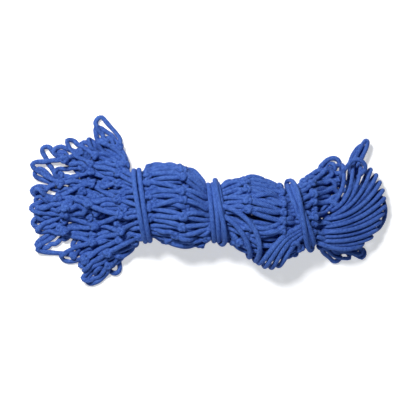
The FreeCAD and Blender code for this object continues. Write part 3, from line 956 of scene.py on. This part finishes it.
def keep_length(pos):
    """Draws neighbours on a cord to their distance, and straightens it where it is bent too hard."""
    count = len(pos)
    d = pos[edge[:, 1]] - pos[edge[:, 0]]
    dist = np.maximum(np.linalg.norm(d, axis=1), 1e-6)
    pull = d / dist[:, None] * ((dist - rest) * 0.5)[:, None]
    moved = spread_sum(edge[:, 0], pull, count) - spread_sum(edge[:, 1], pull, count)
    hits = np.bincount(edge[:, 0], minlength=count) + np.bincount(edge[:, 1], minlength=count)
    pos = pos + moved / hits[:, None] * LENGTH_GAIN
    d = pos[bend[:, 1]] - pos[bend[:, 0]]
    dist = np.maximum(np.linalg.norm(d, axis=1), 1e-6)
    short = np.minimum(dist - least, 0.0)
    pull = d / dist[:, None] * (short * BEND_GAIN)[:, None]
    return pos + spread_sum(bend[:, 0], pull, count) - spread_sum(bend[:, 1], pull, count)


def keep_in(pos):
    """Holds the cords inside the ties and the gathered outline, near the places they were laid out in and
    above the floor."""
    for tie in TIES:
        s, y, z, reach = tie.section(pos, -2.6)
        m = (np.abs(s) < TIE_REACH) & (reach > 1.0)
        k = 1.0 / reach[m]
        pos[m] = tie.points(s[m], y[m] * k, z[m] * k)
    mid, half, up = outline(pos[:, 0])
    between_ties = (pos[:, 0] > LEFT.centre[0] + 8) & (pos[:, 0] < RIGHT.centre[0] - 4)
    pos[HANK_FIRST:] += (hank - pos[HANK_FIRST:]) * HANK_HOLD
    pos[:KNOTS] += (knot_places - pos[:KNOTS]) * hold
    height = CORE + 2.0
    y, z = pos[:, 1] - mid, pos[:, 2] - height
    reach = np.sqrt((y / (half - 2.0)) ** 2 + (z / (up - 1.0)) ** 2)
    far = between_ties & (reach > 1.0)
    pos[far, 1] = mid[far] + y[far] * (0.3 + 0.7 / reach[far])
    pos[far, 2] = height + z[far] * (0.3 + 0.7 / reach[far])
    pos[:, 2] = np.maximum(pos[:, 2], LOWEST)


def relax(pos, steps):
    """Settles the net and the hank."""
    for step in range(steps):
        net = pos[:HANK_FIRST]
        net[:, 2] -= SINK * ((net[:, 0] < LEFT.centre[0] - 15) | (net[:, 0] > RIGHT.centre[0] + 15))
        if step % 4 == 0:
            q, touch = contacts(pos)
        pos = push_apart(pos, q, touch)
        for _ in range(3):
            pos = keep_length(pos)
        keep_in(pos)
    return pos


pos = relax(pos, 240)

# ------------------------------------------------------------------------
# net meshes, split at the ties and at the middle of each lobe
# ------------------------------------------------------------------------
ZONES = (
    "fan_net", "left_lobe_net_a", "left_lobe_net_b", "right_lobe_net_a", "right_lobe_net_b", "end_net",
)
MID_LEFT = (LEFT.centre[0] + MIDDLE.centre[0]) / 2
MID_RIGHT = (MIDDLE.centre[0] + RIGHT.centre[0]) / 2


def zone_of(p, centre_x):
    """Zone of each point of a cord: by the tie planes, and within a lobe by where the cord's middle is."""
    z = np.zeros(len(p), int)
    z[(p - LEFT.centre) @ LEFT.along > 0] = 1 if centre_x < MID_LEFT else 2
    z[(p - MIDDLE.centre) @ MIDDLE.along > 0] = 3 if centre_x < MID_RIGHT else 4
    z[(p - RIGHT.centre) @ RIGHT.along > 0] = 5
    return z


def joined_cords():
    """Bars joined end to end wherever the cord loops round without a knot."""
    paths = {n: list(c) for n, c in enumerate(chain)}
    ends = {}
    for n, c in paths.items():
        for k in (c[0], c[-1]):
            ends.setdefault(int(k), []).append(n)
    for k in np.flatnonzero(degree == 2):
        one, two = ends[int(k)]
        if one == two:
            continue
        first, second = paths[one], paths.pop(two)
        if first[0] == k:
            first = first[::-1]
        if second[-1] == k:
            second = second[::-1]
        paths[one] = first + second[1:]
        for q in ends.values():
            q[:] = [one if n == two else n for n in q]
    return list(paths.values())


builders = {z: Builder() for z in ZONES}
for n, c in enumerate(joined_cords()):
    p = catmull(pos[c], 2)
    past = np.min([np.abs((p - tie.centre) @ tie.along) for tie in TIES], axis=0)
    free = np.clip((past - 8.0) / 35.0, 0.0, 1.0)
    r = (TIED_R + (NET_R - TIED_R) * free) * (1.0 + 0.05 * np.sin(np.arange(len(p)) * 0.9 + n))
    flat = 0.80 + 0.06 * math.sin(n)
    zone = zone_of(p, p[len(p) // 2, 0])
    cuts = np.flatnonzero(np.diff(zone)) + 1
    edges = [0, *cuts, len(p)]
    for s, e in zip(edges[:-1], edges[1:]):
        e = min(e + 1, len(p))
        if e - s >= 2:
            builders[ZONES[zone[s]]].tube(p[s:e], r[s:e], 9, flat, start=n * 0.013)

for n, p in enumerate(sweeps):
    zone = "right_lobe_net_b" if n < len(SWEEPS_RIGHT) else "right_lobe_net_a"
    builders[zone].tube(p, SWEEP_R, 10, 0.82, start=n * 0.02)


def trefoil(points, rise, size):
    """The closed line of a simple knot round its own Z axis."""
    a = np.arange(points) * 2 * math.pi / points
    lines = [(2 + np.cos(3 * a)) * np.cos(2 * a), (2 + np.cos(3 * a)) * np.sin(2 * a), np.sin(3 * a) * rise]
    return np.stack(lines, 1) * size


def outward_at(p):
    """The way that the net's outside faces near point p, not of unit length."""
    if p[0] < LEFT.centre[0] - 20 or p[0] > RIGHT.centre[0] + 20:
        return UP
    mid, half, up = outline(np.array([np.clip(p[0], LEFT.centre[0], RIGHT.centre[0])]))
    return np.array([0.0, (p[1] - mid[0]) / half[0] ** 2, (p[2] - (CORE - 2.0)) / up[0] ** 2])


net_knot = trefoil(34, 1.35, 1.45)
for k in range(KNOTS):
    if degree[k] == 2:
        continue
    p = pos[k]
    normal = outward_at(p)
    normal = unit(normal + rng.normal(size=3) * 0.12 * np.linalg.norm(normal))
    ax = unit(np.cross(normal, [0.3, 1.0, 0.1]))
    ay = np.cross(normal, ax)
    w = rng.uniform(0, 6.28)
    size = rng.uniform(0.88, 1.1)
    x, y, z = (net_knot * size * np.array([1.08, 0.92, 1.0])).T
    q = np.stack([x * math.cos(w) - y * math.sin(w), x * math.sin(w) + y * math.cos(w), z], 1)
    q = p + normal + q[:, :1] * ax + q[:, 1:2] * ay + q[:, 2:] * normal
    q[:, 2] = np.maximum(q[:, 2], 2.8)
    zone = zone_of(p[None], p[0])[0]
    builders[ZONES[zone]].tube(q, KNOT_R, 8, closed=True, start=k * 0.01)


def named(prefix):
    """The plain solids whose names begin with the prefix."""
    return [n for n in frame["nodes"] if n.startswith(prefix)]


objects = {z: builders[z].make(z, NET, "net_cord") for z in ZONES}
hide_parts("left_tie_neck", *named("fan_"))
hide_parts(*named("left_lobe_"))
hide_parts("middle_tie_neck", *named("left_lobe_"))
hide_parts(*named("right_lobe_"))
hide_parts("right_tie_neck", *named("right_lobe_"))
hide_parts("end_upper_back", "end_lower_back", "end_front_meshes")


def bend_over(ob):
    """Bakes a piece's placement into its mesh."""
    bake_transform(ob)


bend_over(objects["fan_net"])
bend_over(objects["left_lobe_net_a"])
bend_over(objects["left_lobe_net_b"])
bend_over(objects["right_lobe_net_a"])
bend_over(objects["right_lobe_net_b"])
bend_over(objects["end_net"])

# ------------------------------------------------------------------------
# lashing cord meshes
# ------------------------------------------------------------------------


def free_cord(name, p, body, node):
    """A lashing cord along p, in place of its plain solid. With no body its placement is baked into its mesh.
    """
    b = Builder()
    b.tube(p, CORD / 2 * (1.0 + 0.03 * np.sin(np.arange(len(p)) * 0.7)), 10, 0.94)
    ob = b.make(name, LASH, "lashing_cord")
    if body is None:
        bend_over(ob)
    else:
        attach(ob, body)
    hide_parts(node)


wound = pos[HANK_FIRST:]
for _ in range(9):
    wound[1:-1] += 0.5 * ((wound[:-2] + wound[2:]) / 2.0 - wound[1:-1])     # smoother
free_cord("hank_cord", wound, None, "lashing_hank")

# the tuft: two long hairpins that stand out from the knot, one on the other
TUFT = {
    "upper": [(200, 45, 14.5), (202, 53, 15), (206, 62, 15.5), (211, 71, 15), (215, 78, 14.5), (218, 82, 14),
              (221, 82, 14), (221.5, 78, 14), (218.5, 69, 14.5), (214, 60, 15), (210, 52, 15), (207, 45, 14)],
    "lower": [(197, 46, 8), (198, 53, 7.5), (201, 61, 7), (205, 68, 6.5), (210, 74, 6.5), (214, 76, 6.5),
              (217, 74, 6.5), (216, 69, 6.5), (212, 61, 7), (208, 53, 7.5), (206, 46, 8)],
}
for name, route in TUFT.items():
    points = nurbs_points("tuft_%s_spline" % name, np.array(route, float))
    free_cord("tuft_loop_" + name, points, "tuft", "tuft_%s_loop" % name)


def closed_cord(name, p, radius, sides, squash, material, slot, body, node):
    """A ring of cord along p that rides a body, in place of its plain solid."""
    b = Builder()
    b.tube(p, radius, sides, squash, closed=True)
    ob = b.make(name, material, slot)
    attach(ob, body)
    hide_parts(node)


knot_line = KNOT + trefoil(60, 1.5, 1.3)
closed_cord("tuft_knot_cord", knot_line, 2.9, 10, 1.0, LASH, "lashing_cord", "hank_end", "tuft_knot")

# two bights that stand out from the hank, one beside the tuft and one round its right rim
BIGHTS = {
    "curl": [(184, 31, 18), (186, 39, 28), (190, 45, 34), (195, 52, 36), (201, 56, 37), (208, 55, 37),
             (214, 50, 35), (216, 44, 33), (213, 38, 29), (207, 32, 21)],
    "rim": [(226, 12, 24), (234, 9, 21), (241, 3, 17), (245, -6, 14), (246.5, -16, 12), (244, -27, 11),
            (239, -36, 11), (232, -42, 13), (224, -43, 18)],
}
for name, route in BIGHTS.items():
    points = nurbs_points(name + "_spline", np.array(route, float))
    free_cord(name + "_bight_cord", points, "hank_end", name + "_bight")

for name, ring in zip(RINGS, TURNS):
    closed_cord(name + "_cord", ring, TURN_R, 12, 0.84, TIE, "tie_cord", name.rsplit("_turn", 1)[0], name)
